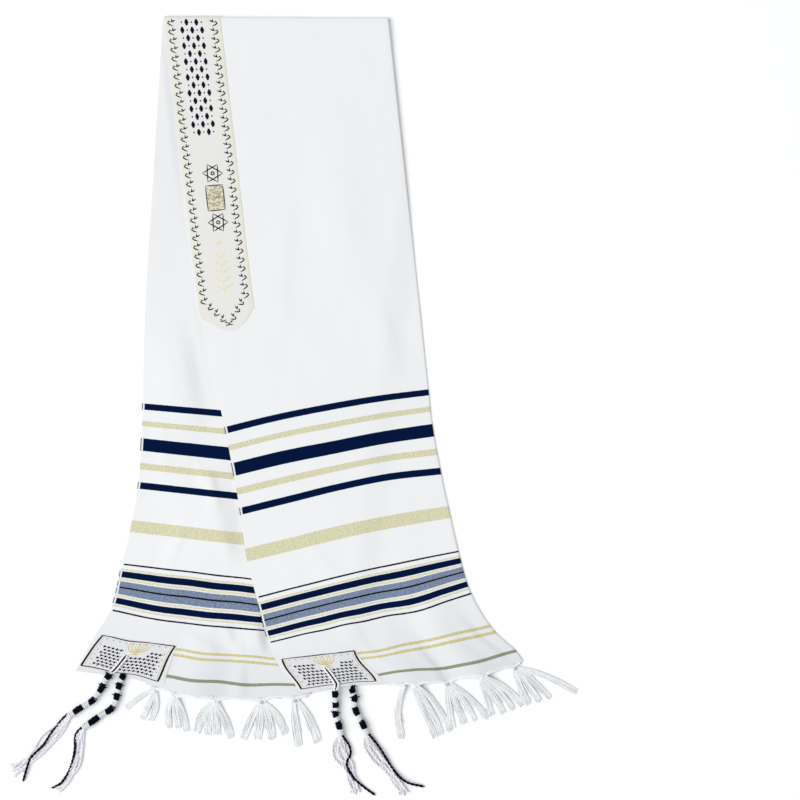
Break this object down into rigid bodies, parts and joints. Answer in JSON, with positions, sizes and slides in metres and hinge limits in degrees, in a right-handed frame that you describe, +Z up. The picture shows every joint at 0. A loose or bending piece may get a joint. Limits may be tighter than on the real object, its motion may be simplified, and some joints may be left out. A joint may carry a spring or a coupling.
{
  "type": "tallit prayer shawl, folded",
  "caption": "Fringed striped prayer shawl with neckband, corner patches and knotted corner tassels, folded in four and laid flat.",
  "frame": {"origin": "middle of the laid-out outline, on the surface that the shawl lies on", "axes": "+Y from the fringed hems to the top fold, +X towards the side folds, +Z up"},
  "size_m": [0.7682, 1.0491, 0.0149],
  "materials": {
    "shawl_weave": "fine plain weave, white with navy, gold and grey-blue woven stripes",
    "neckband_weave": "close cream weave with dark and gold ornament",
    "patch_weave": "close grey-cream satin weave with dark borders",
    "fringe_thread": "soft white twisted thread",
    "tassel_cord": "white and navy twisted cord"
  },
  "bodies": {
    "root": {"shawl_cloth": "shawl_weave", "neckband": "neckband_weave", "corner_patch_front": "patch_weave", "corner_patch_front_under": "patch_weave", "corner_patch_back": "patch_weave", "corner_patch_back_under": "patch_weave", "fringe_front": "fringe_thread", "fringe_front_under": "fringe_thread", "fringe_back": "fringe_thread", "fringe_back_under": "fringe_thread", "tassel_front": "tassel_cord", "tassel_front_under": "tassel_cord", "tassel_back": "tassel_cord", "tassel_back_under": "tassel_cord"}
  },
  "joints": []
}
